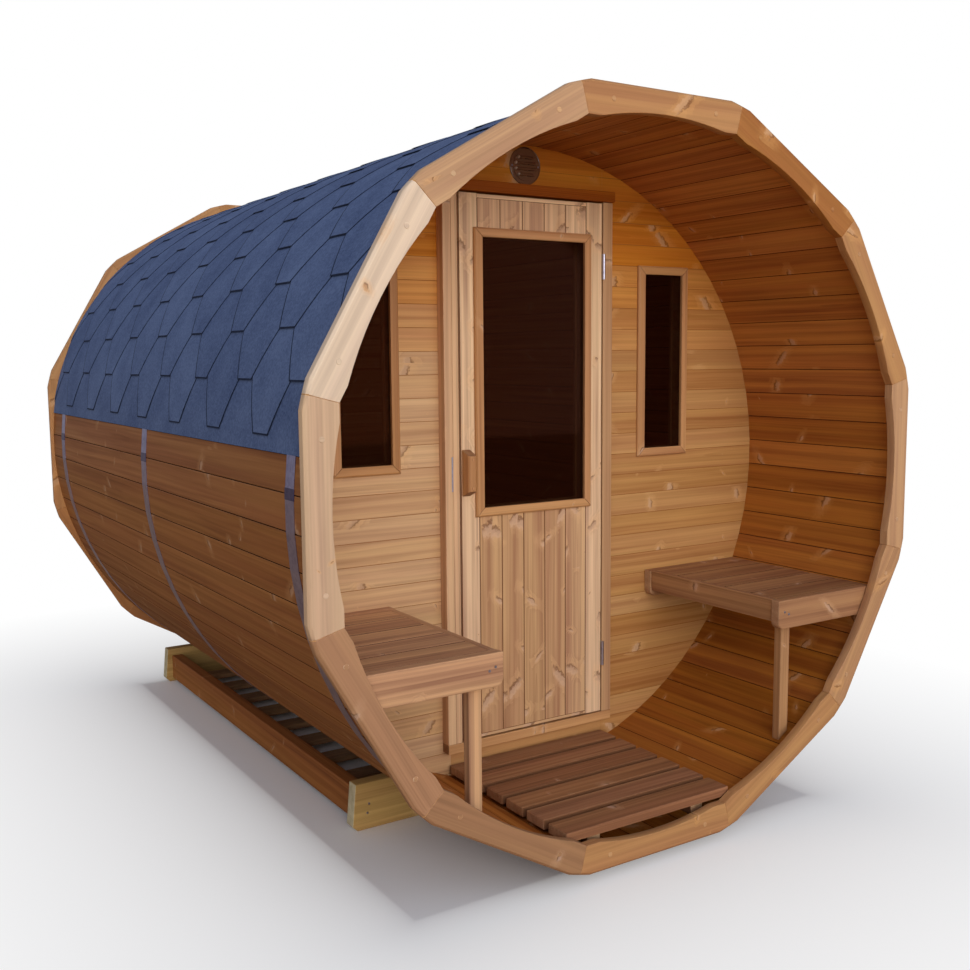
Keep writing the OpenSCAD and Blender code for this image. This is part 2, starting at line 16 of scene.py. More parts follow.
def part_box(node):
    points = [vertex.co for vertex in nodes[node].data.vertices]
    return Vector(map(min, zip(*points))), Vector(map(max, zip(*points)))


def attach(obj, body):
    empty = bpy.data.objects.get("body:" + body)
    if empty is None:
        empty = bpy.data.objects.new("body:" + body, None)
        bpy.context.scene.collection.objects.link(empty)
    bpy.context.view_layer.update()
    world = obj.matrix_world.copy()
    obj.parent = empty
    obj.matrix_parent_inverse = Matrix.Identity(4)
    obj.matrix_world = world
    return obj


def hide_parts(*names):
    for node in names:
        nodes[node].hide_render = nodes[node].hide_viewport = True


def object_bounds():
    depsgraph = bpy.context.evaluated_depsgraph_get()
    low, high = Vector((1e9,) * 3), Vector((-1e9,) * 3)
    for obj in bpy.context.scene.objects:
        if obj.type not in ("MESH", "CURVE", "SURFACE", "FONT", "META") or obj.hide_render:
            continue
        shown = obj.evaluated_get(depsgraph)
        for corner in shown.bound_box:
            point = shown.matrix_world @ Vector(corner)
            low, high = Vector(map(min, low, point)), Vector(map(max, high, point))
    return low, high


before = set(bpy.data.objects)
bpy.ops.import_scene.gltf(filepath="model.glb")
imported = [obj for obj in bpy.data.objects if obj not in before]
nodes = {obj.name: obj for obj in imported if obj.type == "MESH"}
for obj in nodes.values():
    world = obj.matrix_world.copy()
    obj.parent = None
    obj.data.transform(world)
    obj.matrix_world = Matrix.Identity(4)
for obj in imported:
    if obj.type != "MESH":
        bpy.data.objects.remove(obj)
cad_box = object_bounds()
MM = 0.001
AXES = X, Y, Z = Vector((1, 0, 0)), Vector((0, 1, 0)), Vector((0, 0, 1))
hoop_low, hoop_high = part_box("hoops")
axis_z = (hoop_low.z + hoop_high.z) / 2
front_y = cad_box[0].y
print("nodes:", len(nodes), "axis of the barrel at", round(axis_z, 3), "m")

# %% [markdown]
# ## Camera
# The photograph was taken from the front left, a little over door-handle height. The place and the
# angles were found from the corners of the two twelve-sided rings, so the camera is set by numbers.

# %% Camera
EYE = Vector((-1.98968, -3.54707, 1.41437))
YAW, PITCH, ROLL = (math.radians(angle) for angle in (32.645, -6.666, -0.483))
PHOTO_PX = 970
FOCAL_PX = 1105
SENSOR_MM = 36
lens = bpy.data.cameras.new("photo_camera")
lens.sensor_width = SENSOR_MM
lens.lens = SENSOR_MM * FOCAL_PX / PHOTO_PX
camera = bpy.data.objects.new("photo_camera", lens)
bpy.context.scene.collection.objects.link(camera)
aim = (Matrix.Rotation(-YAW, 4, "Z") @ Matrix.Rotation(math.pi / 2 + PITCH, 4, "X")
       @ Matrix.Rotation(ROLL, 4, "Z"))
camera.matrix_world = Matrix.Translation(EYE) @ aim
bpy.context.scene.camera = camera
print("camera lens", round(lens.lens, 2), "mm")

# %% [markdown]
# ## Colours and shader nodes
# Colours are written as sRGB hex values, the way a colour picker shows them, and one function turns
# them into the linear numbers that shaders use. A second small function adds a node, types in its
# settings and links its inputs, so that a material reads as a short list of steps.

# %% Small helpers for materials
def linear(code):
    """An sRGB hex colour as linear red, green, blue and alpha."""
    parts = [int(code[i:i + 2], 16) / 255 for i in (1, 3, 5)]
    return tuple(c / 12.92 if c <= 0.04045 else ((c + 0.055) / 1.055) ** 2.4 for c in parts) + (1.0,)


def blended(code, other, share):
    """A hex colour moved towards another one."""
    pairs = [(int(code[i:i + 2], 16), int(other[i:i + 2], 16)) for i in (1, 3, 5)]
    return "#" + "".join(f"{round(a + (b - a) * share):02x}" for a, b in pairs)


def add(tree, kind, ins=None, out=0, **settings):
    """Adds a node: sockets among ins are linked, other values typed in. Gives back an output, or the node."""
    made = tree.nodes.new("ShaderNode" + kind)
    for key, value in settings.items():
        setattr(made, key, value)
    for key, value in (ins or {}).items():
        if isinstance(value, bpy.types.NodeSocket):
            tree.links.new(value, made.inputs[key])
        else:
            made.inputs[key].default_value = value
    return made if out is None else made.outputs[out]


def new_material(name):
    """An empty material with its node tree and its main shader."""
    material = bpy.data.materials.new(name)
    material.use_nodes = True
    return material, material.node_tree, material.node_tree.nodes["Principled BSDF"]


# %% [markdown]
# ## Studio
# The object stands on a plain pale floor under soft light. The sky is brightest low in front of the
# terrace and dimmer all round, as on the photograph, where the flank is in shade. High up it turns a
# little blue. One wide weak lamp draws the shadows under the header and the benches. The camera itself
# sees a white sky.

# %% Sky and lamp
bpy.context.scene.view_settings.view_transform = "Standard"
SKY_ROUND, SKY_FRONT = 0.36, 1.75
BRIGHT_SIDE = Vector((-0.15, -1.0, 0.05))
FRONT_FOCUS = 2.0
BLUE_HEIGHT = 0.8
LAMP = 1.05
LAMP_AZIMUTH = math.radians(-12)
LAMP_HEIGHT = math.radians(8)
LAMP_WIDTH = math.radians(40)
world = bpy.data.worlds.new("studio_sky")
bpy.context.scene.world = world
world.use_nodes = True
sky = world.node_tree
sky.nodes.clear()
way = add(sky, "TexCoord", out="Generated")
high = add(sky, "SeparateXYZ", {0: way}, out="Z")
blue = add(sky, "MapRange", {"Value": high, "From Max": BLUE_HEIGHT})
tint = add(sky, "Mix", {0: blue, 6: linear("#ffffff"), 7: linear("#e2e9fb")}, out=2, data_type="RGBA")
ahead = add(sky, "VectorMath", {0: way, 1: BRIGHT_SIDE.normalized()}, out="Value",
            operation="DOT_PRODUCT")
ahead = add(sky, "Math", {0: ahead, 1: 0.0}, operation="MAXIMUM")
ahead = add(sky, "Math", {0: ahead, 1: FRONT_FOCUS}, operation="POWER")
glow = add(sky, "MapRange", {"Value": ahead, "To Min": SKY_ROUND, "To Max": SKY_FRONT})
seen = add(sky, "LightPath", out="Is Camera Ray")
glow = add(sky, "MapRange", {"Value": seen, "To Min": glow, "To Max": 1.0})
tint = add(sky, "Mix", {0: seen, 6: tint, 7: linear("#ffffff")}, out=2, data_type="RGBA")
backdrop = add(sky, "Background", {"Color": tint, "Strength": glow})
add(sky, "OutputWorld", {"Surface": backdrop}, out=None)
sun = bpy.data.lights.new("wide_lamp", "SUN")
sun.energy = LAMP
sun.angle = LAMP_WIDTH
sun.color = linear("#fff6ea")[:3]
lamp = bpy.data.objects.new("wide_lamp", sun)
lamp.rotation_euler = (math.pi / 2 - LAMP_HEIGHT, 0, LAMP_AZIMUTH)
bpy.context.scene.collection.objects.link(lamp)
print("sky", SKY_ROUND, "to", SKY_FRONT, "lamp", LAMP)

# %% [markdown]
# The floor glows a little, so that it is white away from the sauna and still takes its shadow. Under the
# sauna it does not glow, because daylight does not reach there. Light that bounces off the floor on to
# the boards is that of sandy gravel.

# %% Floor
FLOOR_HALF = 14
FOOTPRINT = (0.72, 1.22, 0.0)
GLOW_REACH = 1.7
GLOW_CURVE = 0.4
floor_paint, tree, _ = new_material("matt_studio_floor")
place = add(tree, "TexCoord", out="Object")
away = add(tree, "VectorMath", {0: place}, operation="ABSOLUTE")
away = add(tree, "VectorMath", {0: away, 1: FOOTPRINT}, operation="SUBTRACT")
away = add(tree, "VectorMath", {0: away, 1: (0.0, 0.0, 0.0)}, operation="MAXIMUM")
away = add(tree, "VectorMath", {0: away}, out="Value", operation="LENGTH")
away = add(tree, "MapRange", {"Value": away, "From Max": GLOW_REACH})
fade = add(tree, "Math", {0: away, 1: GLOW_CURVE}, operation="POWER")
pale = add(tree, "BsdfDiffuse", {"Color": linear("#fbfaf8")})
glow = add(tree, "Emission", {"Color": linear("#ffffff"), "Strength": 1.0})
shown = add(tree, "MixShader", {0: fade, 1: pale, 2: glow})
gravel = add(tree, "BsdfDiffuse", {"Color": linear("#c4a582")})
seen = add(tree, "LightPath", out="Is Camera Ray")
mixed = add(tree, "MixShader", {0: seen, 1: gravel, 2: shown})
tree.links.new(mixed, tree.nodes["Material Output"].inputs["Surface"])
bm = bmesh.new()
bmesh.ops.create_grid(bm, x_segments=1, y_segments=1, size=FLOOR_HALF)
sheet = bpy.data.meshes.new("studio_floor")
bm.to_mesh(sheet)
bm.free()
sheet.materials.append(floor_paint)
ground = bpy.data.objects.new("studio_floor", sheet)
bpy.context.scene.collection.objects.link(ground)
print("floor", 2 * FLOOR_HALF, "m wide")

# %% [markdown]
# ## Oiled wood
# The wood is pine, baked until it turned brown, planed and oiled, and only the cradle is impregnated or
# stained pine. What the eye gets from that is a satin surface with fine fibres, streaks along the board,
# faint flames where growth rings reach the face, a dark knot here and there, and boards that differ in
# tone. In a joint only dusty wood in the shade shows, as one dark colour. Every board carries its own grain
# coordinates: along, across and through the board, measured from the pith of the tree. The shader works
# on those, so the same function gives faces, edges and end grain. Real rings are 2 to 3 mm apart, and
# they are drawn at about twice that, because one pixel of the picture is more than 3 mm of wood.

# %% The wood shader
KNOT_W = 70 * MM
KNOT_SLANT = 1.1
KNOT_SQUEEZE = 0.55
KNOT_PUSH = 9 * MM
DRIFT_LENGTHS = (0.6, 0.13, 0.13)
WANDER = 0.011
YELLOWING = 0.04
GLOSS = 0.3
# Kind, lengths along, across and through the board, and the noise values drawn as 0 and 1
FIGURES = (
    ("fibre", (0.45, 5 * MM, 5 * MM), 0.3, 0.7),
    ("streak", (1.3, 18 * MM, 18 * MM), 0.4, 0.6),
    ("band", (1.6, 55 * MM, 55 * MM), 0.4, 0.6),
    ("faint", (0.5, 80 * MM, 80 * MM), 0.42, 0.62),
    ("ragged", (11 * MM, 11 * MM, 11 * MM), 0.3, 0.7),
)


def oiled_wood(name, pale, deep, ring=5.5 * MM, knot=8 * MM, every=0.4, rough=0.52, vary=0.14, fade=0.06,
               gloss=GLOSS):
    """Baked pine between a pale and a deep colour, with knots up to a size and so far apart along a board.

    Boards vary in brightness, and the brighter ones fade and turn to yellow."""
    material, tree, shader = new_material(name)
    grain = add(tree, "Attribute", out="Vector", attribute_name="grain")
    tone = add(tree, "Attribute", out="Fac", attribute_name="tone")
    slow = add(tree, "VectorMath", {0: grain, 1: DRIFT_LENGTHS}, operation="DIVIDE")
    drift = add(tree, "TexNoise", {"Vector": slow, "Scale": 1.0, "Detail": 2.0}, out="Color")
    drift = add(tree, "VectorMath", {0: drift, 1: (0.5, 0.5, 0.5)}, operation="SUBTRACT")
    bent = add(tree, "VectorMath", {0: drift, 1: (WANDER,) * 3, 2: grain}, operation="MULTIPLY_ADD")
    figure = {}
    for kind, lengths, low, high in FIGURES:
        place = add(tree, "VectorMath", {0: bent, 1: lengths}, operation="DIVIDE")
        noise = add(tree, "TexNoise", {"Vector": place, "Scale": 1.0, "Detail": 3.0})
        figure[kind] = add(tree, "MapRange", {"Value": noise, "From Min": low, "From Max": high})
    # A knot lies in each cell of a Voronoi pattern, and in many cells it is too small to show. It slants
    # across the board: a pale greyish patch, which is a painted sheen, with a dark brown edge on one side
    cell_size = (every, KNOT_W, 0.6)
    cell = add(tree, "VectorMath", {0: grain, 1: cell_size}, operation="DIVIDE")
    knots = add(tree, "TexVoronoi", {"Vector": cell, "Scale": 1.0}, out=None)
    gap = add(tree, "VectorMath", {0: cell, 1: knots.outputs["Position"]}, operation="SUBTRACT")
    gap = add(tree, "VectorMath", {0: gap, 1: cell_size}, operation="MULTIPLY")
    gap = add(tree, "SeparateXYZ", {0: gap}, out=None)
    draw = add(tree, "SeparateColor", {0: knots.outputs["Color"]}, out=None)
    slant = add(tree, "MapRange", {"Value": draw.outputs["Green"], "To Min": -KNOT_SLANT, "To Max": KNOT_SLANT})
    along = add(tree, "Math", {0: gap.outputs["Y"], 1: slant, 2: gap.outputs["X"]}, operation="MULTIPLY_ADD")
    across = add(tree, "Math", {0: gap.outputs["Y"], 1: KNOT_SQUEEZE}, operation="MULTIPLY")
    size = add(tree, "MapRange", {"Value": draw.outputs["Red"], "From Min": 0.35, "To Min": 0.1 * MM,
                                  "To Max": max(knot, 0.2 * MM)})
    near = {}
    for part, shift in (("edge", 0.0), ("patch", 0.55)):
        aside = add(tree, "Math", {0: size, 1: shift, 2: along}, operation="MULTIPLY_ADD")
        both = add(tree, "CombineXYZ", {"X": aside, "Y": across})
        both = add(tree, "VectorMath", {0: both}, out="Value", operation="LENGTH")
        both = add(tree, "Math", {0: both, 1: size}, operation="DIVIDE")
        near[part] = add(tree, "Math", {0: figure["ragged"], 1: 0.7, 2: both}, operation="MULTIPLY_ADD")
    edge, patch, halo = (
        add(tree, "MapRange", {"Value": near[part], "From Min": inside, "From Max": outside, "To Min": 1.0,
                               "To Max": 0.0}, interpolation_type="SMOOTHSTEP")
        for part, inside, outside in (("edge", 0.8, 1.3), ("patch", 0.8, 1.4), ("edge", 1.0, 3.6))
    )
    # Growth rings, pushed aside by the knots, which show on some stretches of a board only
    flat = add(tree, "VectorMath", {0: bent, 1: (0.0, 1.0, 1.0)}, operation="MULTIPLY")
    radius = add(tree, "VectorMath", {0: flat}, out="Value", operation="LENGTH")
    radius = add(tree, "Math", {0: halo, 1: KNOT_PUSH, 2: radius}, operation="MULTIPLY_ADD")
    phase = add(tree, "Math", {0: radius, 1: ring}, operation="DIVIDE")
    phase = add(tree, "Math", {0: phase}, operation="FRACT")
    late = add(tree, "MapRange", {"Value": phase, "From Min": 0.15, "From Max": 0.9},
               interpolation_type="SMOOTHSTEP")
    depth = add(tree, "Math", {0: late, 1: figure["faint"]}, operation="MULTIPLY")
    for kind, share, first in (("fibre", 0.2, 0.22), ("streak", 0.34, 1.0), ("band", 0.26, 1.0)):
        depth = add(tree, "Math", {0: depth, 1: first}, operation="MULTIPLY")
        depth = add(tree, "Math", {0: figure[kind], 1: share, 2: depth}, operation="MULTIPLY_ADD")
    colour = add(tree, "Mix", {0: depth, 6: linear(pale), 7: linear(deep)}, out=2, data_type="RGBA")
    value = add(tree, "MapRange", {"Value": tone, "To Min": 1.0 - vary, "To Max": 1.0 + 0.5 * vary})
    pure = add(tree, "MapRange", {"Value": tone, "To Min": 1.0, "To Max": 1.0 - fade})
    hue = add(tree, "MapRange", {"Value": figure["band"], "To Min": 0.503, "To Max": 0.497})
    hue = add(tree, "Math", {0: tone, 1: YELLOWING * fade, 2: hue}, operation="MULTIPLY_ADD")
    colour = add(tree, "HueSaturation", {"Hue": hue, "Saturation": pure, "Value": value, "Color": colour})
    # Round a knot: a pale halo, the dark brown edge, and the pale greyish patch, a painted sheen
    for part, strength, code in ((halo, 0.3, blended(pale, "#fff0d8", 0.3)),
                                 (edge, 0.7, blended(deep, "#2c1206", 0.5)),
                                 (patch, 0.8, blended(pale, "#c4b2b0", 0.5))):
        share = add(tree, "Math", {0: part, 1: strength}, operation="MULTIPLY")
        colour = add(tree, "Mix", {0: share, 6: colour, 7: linear(code)}, out=2, data_type="RGBA")
    satin = add(tree, "MapRange", {"Value": depth, "To Min": rough - 0.06, "To Max": rough + 0.1})
    bump = add(tree, "Bump", {"Strength": 0.3, "Distance": 0.6 * MM, "Height": depth}, invert=True)
    for socket, link in (("Base Color", colour), ("Roughness", satin), ("Normal", bump)):
        tree.links.new(link, shader.inputs[socket])
    shader.inputs["Specular IOR Level"].default_value = gloss
    return material


# %% The woods of the sauna
# The darker, more golden colours of the front wall under the roof are painted shade from the roof over the
# terrace
WALL, SHADED_WALL = ("#d69953", "#a66726"), ("#d6882e", "#a65c14")
SHADE_STEPS = 3
SHADE_GLOSS = 0.1
WALL_KNOT, WALL_VARY, WALL_FADE = 20 * MM, 0.25, 0.25
RING_KNOT = 19 * MM
wood = {
    "stave_wood": oiled_wood("baked_pine_staves", "#c87928", "#8c4b17", knot=15 * MM, every=0.5, vary=0.26,
                             gloss=0.14),
    "ring_wood": oiled_wood("baked_pine_rings", "#dd903a", "#b2681e", knot=RING_KNOT, vary=0.4, fade=0.55,
                            rough=0.46),
    "wall_wood": oiled_wood("baked_pine_wall", *WALL, knot=WALL_KNOT, vary=WALL_VARY, fade=WALL_FADE),
    "trim_wood": oiled_wood("planed_pine_trim", "#cf9660", "#9c663a", knot=9 * MM),
    "door_wood": oiled_wood("baked_pine_door", "#dea264", "#964d1c", knot=24 * MM, every=0.18, vary=0.5,
                            fade=0.3),
    "bench_wood": oiled_wood("planed_pine_bench", "#cc925e", "#845030", knot=14 * MM, rough=0.6, vary=0.5,
                             fade=0.15),
    "cradle_wood": oiled_wood("green_impregnated_pine", "#cca565", "#98763c", knot=12 * MM, rough=0.7),
    "bearer_wood": oiled_wood("dark_stained_pine", "#ae6a30", "#784216", knot=8 * MM, rough=0.6),
}
jamb_wood = oiled_wood("planed_pine_jamb", "#d29a64", "#a06a3c", knot=9 * MM, vary=0.5, fade=0.2)
header_wood = oiled_wood("saturated_dark_header_wood", "#b86616", "#86420a", knot=4 * MM, gloss=0.1)
# A browner, duller ring wood for the lower left of the front ring: painted shade
shaded_ring_wood = oiled_wood("shaded_pine_rings", "#b98861", "#956c4b", knot=RING_KNOT, vary=0.3)
# Wall woods that turn step by step to the painted shade colours, with less gloss
painted_shade_woods = []
for step in range(1, SHADE_STEPS + 1):
    share = step / SHADE_STEPS
    pale, deep = (blended(code, shade_code, share) for code, shade_code in zip(WALL, SHADED_WALL))
    painted_shade_woods.append(oiled_wood(f"painted_shade_pine_wall_{step}", pale, deep, knot=WALL_KNOT, vary=WALL_VARY,
                                   fade=WALL_FADE * (1 - share), gloss=GLOSS + (SHADE_GLOSS - GLOSS) * share))
slat_wood = oiled_wood("dusty_cradle_slats", "#b4885e", "#845e40", knot=8 * MM, rough=0.8)
floor_wood = oiled_wood("worn_pine_floor", "#b88056", "#764a2e", knot=15 * MM, rough=0.62)
# The outside of the staves is browner, with less gloss: painted shade of the flank
shaded_flank_wood = oiled_wood("painted_shade_pine_flank", "#a8682e", "#7a451c", knot=12 * MM, every=0.6, vary=0.24,
                        gloss=0.2)
end_grain = {
    slot: oiled_wood("end_grain_" + slot, pale, deep, ring=5 * MM, knot=0.0, rough=0.8)
    for slot, pale, deep in (
        ("bench_wood", "#c49a74", "#9c6e4a"), ("cradle_wood", "#d8ccaa", "#b0a480"),
        ("trim_wood", "#a87a54", "#825434"), ("bearer_wood", "#7e4a24", "#5a3014"),
        ("ring_wood", "#e0b07a", "#c48c50"),
    )
}


def plain(name, code, rough=0.9, gloss=0.1):
    """A material of one colour."""
    material, _, shader = new_material(name)
    for socket, value in (("Base Color", linear(code)), ("Roughness", rough), ("Specular IOR Level", gloss)):
        shader.inputs[socket].default_value = value
    return material


shaded_joint = plain("shaded_stave_joint", "#3a1c0b")
soft_joint = plain("tight_wall_joint", "#96602e")
door_joint = plain("open_door_joint", "#6e4424")
# The sides of slats and floor boards inside their gaps are dark: dust, and painted shade of the gaps
slat_side_dust_and_shade = plain("dusty_slat_side", "#482b1b")
floor_side_dust_and_shade = plain("dusty_floor_board_side", "#80563a")
print("materials of the floor, the woods and their joints:", len(bpy.data.materials))

# %% [markdown]
# ## Glass, zinc and roofing
# The panes are bronze tinted glass: dark, smooth and a little see-through. Hinges and screws are zinc-coated
# steel, a grey metal with a violet cast and a soft spangle. The hoops are strap steel, more violet and blue as
# a painted reflection of the sky, with darker seals. The vent is steel sheet under glossy brown lacquer, with
# bright steel at the left ends of the louvres as a painted glint. The roof is bitumen felt covered with
# slate-blue mineral granules, which kill all gloss. Granules are about 1 mm, and they are drawn at 5 mm so that
# the speckle shows.

# %% Glass and metal
FLAKE, CLOUD = 9 * MM, 60 * MM
bronze_glass, _, shader = new_material("bronze_tinted_glass")
for socket, value in (("Base Color", linear("#1e0a04")), ("Roughness", 0.03), ("Alpha", 0.55), ("IOR", 1.52),
                      ("Specular IOR Level", 0.35), ("Specular Tint", linear("#c05a24"))):
    shader.inputs[socket].default_value = value


def spangled(name, deep, pale, rough):
    """Sheet steel with a coating that broke into flakes of slightly different grey."""
    material, tree, shader = new_material(name)
    place = add(tree, "TexCoord", out="Object")
    flake = add(tree, "TexVoronoi", {"Vector": place, "Scale": 1 / FLAKE}, out="Color")
    flake = add(tree, "SeparateColor", {0: flake}, out="Red")
    cloud = add(tree, "TexNoise", {"Vector": place, "Scale": 1 / CLOUD, "Detail": 3.0})
    spread = add(tree, "Math", {0: flake, 1: 0.35, 2: cloud}, operation="MULTIPLY_ADD")
    tint = add(tree, "Mix", {0: spread, 6: linear(deep), 7: linear(pale)}, out=2, data_type="RGBA")
    shine = add(tree, "MapRange", {"Value": spread, "To Min": rough + 0.06, "To Max": rough - 0.06})
    tree.links.new(tint, shader.inputs["Base Color"])
    tree.links.new(shine, shader.inputs["Roughness"])
    shader.inputs["Metallic"].default_value = 1.0
    return material


zinc = spangled("zinc_coated_steel", "#8c8aa0", "#b8b6c8", 0.34)
# The hoops' blue violet is a painted reflection of the sky
strap_steel = spangled("sky_reflection_strap_steel", "#74709a", "#a09cc4", 0.36)
seal_steel = spangled("dark_crimped_seal", "#3c3660", "#5a5480", 0.4)
vent_lacquer = plain("brown_lacquered_steel", "#74503a", 0.2, 0.8)
glinting_steel = spangled("painted_glint_on_steel", "#d8d0c8", "#f0e8e0", 0.42)
vent_shade = plain("painted_shade_in_vent", "#1c100a")
print("glass, and metals with flakes of", round(FLAKE / MM), "mm")

# %% Bitumen shingles
GRANULE, PATCH = 5 * MM, 120 * MM
bitumen, tree, shader = new_material("blue_granule_bitumen")
place = add(tree, "TexCoord", out="Object")
tone = add(tree, "Attribute", out="Fac", attribute_name="tone")
grit = add(tree, "TexVoronoi", {"Vector": place, "Scale": 1 / GRANULE}, out="Color")
grit = add(tree, "SeparateColor", {0: grit}, out="Red")
patch = add(tree, "TexNoise", {"Vector": place, "Scale": 1 / PATCH, "Detail": 4.0})
mix = add(tree, "Math", {0: grit, 1: 0.5, 2: patch}, operation="MULTIPLY_ADD")
mix = add(tree, "Math", {0: tone, 1: 0.25, 2: mix}, operation="MULTIPLY_ADD")
mix = add(tree, "MapRange", {"Value": mix, "From Min": 0.35, "From Max": 1.3})
tint = add(tree, "Mix", {0: mix, 6: linear("#3f5078"), 7: linear("#61749c")}, out=2, data_type="RGBA")
tree.links.new(tint, shader.inputs["Base Color"])
rise = add(tree, "Bump", {"Strength": 0.5, "Distance": 1.5 * MM, "Height": grit})
tree.links.new(rise, shader.inputs["Normal"])
shader.inputs["Roughness"].default_value = 0.92
shader.inputs["Specular IOR Level"].default_value = 0.2
tab_shadow_sheet = plain("painted_shadow_under_tab", "#222b42", 0.8)
print("materials:", len(bpy.data.materials))

# %% [markdown]
# ## Boards
# A board from the frame has knife-sharp edges, and on the real sauna a plane has taken them off. So each
# wooden node is copied, its loose triangles are merged into clean faces, and its edges are bevelled. The
# frame's own meshes keep their shape. Then every board in the copy gets its grain: where it was cut from
# the tree is drawn at random, with a fixed seed, so that no two boards are alike and each run is the same.

# %% Copying and softening boards
WELD = 0.01 * MM
FLAT = math.radians(0.3)
SHARP = math.radians(25)
PARALLEL = 0.99


def empty_mesh():
    """A mesh with layers for grain and tone."""
    bm = bmesh.new()
    bm.verts.layers.float_vector.new("grain")
    bm.verts.layers.float.new("tone")
    return bm


def merged_copy(node):
    """A clean mesh of a node of the frame."""
    bm = empty_mesh()
    bm.from_mesh(nodes[node].data)
    bmesh.ops.remove_doubles(bm, verts=bm.verts, dist=WELD)
    bmesh.ops.dissolve_limit(bm, angle_limit=FLAT, verts=bm.verts, edges=bm.edges)
    return bm


def soften(bm, radius, along=None, segments=2):
    """Rounds the sharp edges, or only those that run along one direction."""
    edges = [e for e in bm.edges if e.is_manifold and e.calc_face_angle() > SHARP]
    if along is not None:
        edges = [e for e in edges
                 if abs((e.verts[1].co - e.verts[0].co).normalized().dot(along)) > PARALLEL]
    bmesh.ops.bevel(bm, geom=edges, offset=radius, segments=segments, profile=0.5, affect="EDGES",
                    material=-1, clamp_overlap=True)


def boards_of(bm):
    """The separate solids of a mesh, each as a list of its vertices."""
    for vert in bm.verts:
        vert.tag = False
    found = []
    for first in bm.verts:
        if first.tag:
            continue
        first.tag = True
        board = [first]
        for vert in board:
            for edge in vert.link_edges:
                other = edge.other_vert(vert)
                if not other.tag:
                    other.tag = True
                    board.append(other)
        found.append(board)
    return found


def span(board):
    """Lowest and highest corner of some vertices."""
    places = [vert.co for vert in board]
    return tuple(Vector([pick(p[i] for p in places) for i in range(3)]) for pick in (min, max))


def lengthwise(board):
    """Directions along a straight board and through its thickness."""
    low, high = span(board)
    order = sorted(range(3), key=lambda i: high[i] - low[i])
    return AXES[order[2]], AXES[order[0]]


# %% Graining boards
# Places in a piece's list of materials, after the face wood
END, JOINT, EXTRA = 1, 2, 3
END_TURN = 0.5
BEVEL_ONLY, WHOLE_SIDE, NOWHERE = (0.5, 0.95), (0.5, 1.1), (2, 2)
# Where a board may be cut from its tree, in metres: up the trunk, aside of the pith and out from it
CUT_UP, CUT_ASIDE, CUT_OUT = (2, 60), (-0.03, 0.03), (0.035, 0.1)


def lay_grain(bm, board, along, through, seed, centre=None, shade=None, joint=NOWHERE):
    """Writes a board's grain coordinates and tone, and marks its end faces and those faces that turn to the
    next board by an amount between two limits."""
    draw = random.Random(seed)
    grain, tone = bm.verts.layers.float_vector["grain"], bm.verts.layers.float["tone"]
    if centre is None:
        centre = sum(span(board), Vector()) / 2
    pith = Vector((draw.uniform(*CUT_UP), draw.uniform(*CUT_ASIDE),
                   draw.choice((-1, 1)) * draw.uniform(*CUT_OUT)))
    across = along.cross(through)
    shade = draw.random() if shade is None else shade
    for vert in board:
        away = vert.co - centre
        vert[grain] = Vector((away.dot(along), away.dot(across), away.dot(through))) + pith
        vert[tone] = shade
        for face in vert.link_faces:
            if abs(face.normal.dot(along)) > END_TURN:
                face.material_index = END
            elif joint[0] < abs(face.normal.dot(across)) < joint[1]:
                face.material_index = JOINT


# %% Making a piece from a mesh
def add_piece(name, bm, materials, body="sauna", stands_for=()):
    """A finished mesh as a piece of the sauna, riding on its body."""
    mesh = bpy.data.meshes.new(name)
    bm.normal_update()
    bm.to_mesh(mesh)
    bm.free()
    for material in materials:
        mesh.materials.append(material)
    piece = bpy.data.objects.new(name, mesh)
    bpy.context.scene.collection.objects.link(piece)
    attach(piece, body)
    if stands_for:
        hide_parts(*stands_for)
    print(name, len(mesh.polygons), "faces")
    return piece


def woods(slot, face=None, side=shaded_joint):
    """The face wood and the end grain of a slot, and what shows in its joints."""
    face = face or wood[slot]
    return [face, end_grain.get(slot, face), side]


def dressed(node, name, slot, radius, lie=lengthwise, body="sauna", materials=None, along=None, segments=2,
            joint=NOWHERE, shade_of=None):
    """A softened and grained copy of a node of boards, which stands for that node."""
    bm = merged_copy(node)
    soften(bm, radius, along, segments)
    bm.normal_update()
    for number, board in enumerate(boards_of(bm)):
        shade = shade_of(board, number) if shade_of else None
        lay_grain(bm, board, *lie(board), f"{node} {number}", shade=shade, joint=joint)
    return add_piece(name, bm, materials or woods(slot), body, [node])


# %% [markdown]
# ## Staves and rings
# Seventy-two bevelled staves make the barrel, and twelve mitred planks close each end. The grain of a
# stave runs along the barrel, with its thickness pointing at the axis, and the grain of a plank follows
# the rim. Both directions come from where the board lies round the axis. Staves are browner outside than
# inside: painted shade of the flank. On the front ring each plank has its own tone; the plank at the upper
# left is the palest, partly a painted sheen, and two planks at the lower left are browner, as painted shade.

# %% Tones of staves and ring planks
STAVE_TONE, STAVE_FALL, STAVE_SPREAD = 0.5, 0.35, 0.2
REAR_TONES = (0.15, 0.35)
PLANKS = 12
PLANK_TURN = 2 * math.pi / PLANKS
# Tones of the planks of the front ring, clockwise from the top; the palest, at the upper left, is partly
# painted sheen
RING_TONES = (0.25, 0.05, 0.25, 0.45, 0.4, 0.3, 0.3, 0.35, 0.75, 0.72, 1.0, 0.5)
# Turns from the top between which the front ring is browner, as painted shade
LOW_LEFT = math.radians(-165), math.radians(-105)


def spoke(board):
    """Direction from the barrel's axis to the middle of a board."""
    middle = sum(span(board), Vector()) / 2
    return Vector((middle.x, 0, middle.z - axis_z)).normalized()


def as_stave(board):
    """Directions along a stave and through its thickness."""
    return Y, spoke(board)


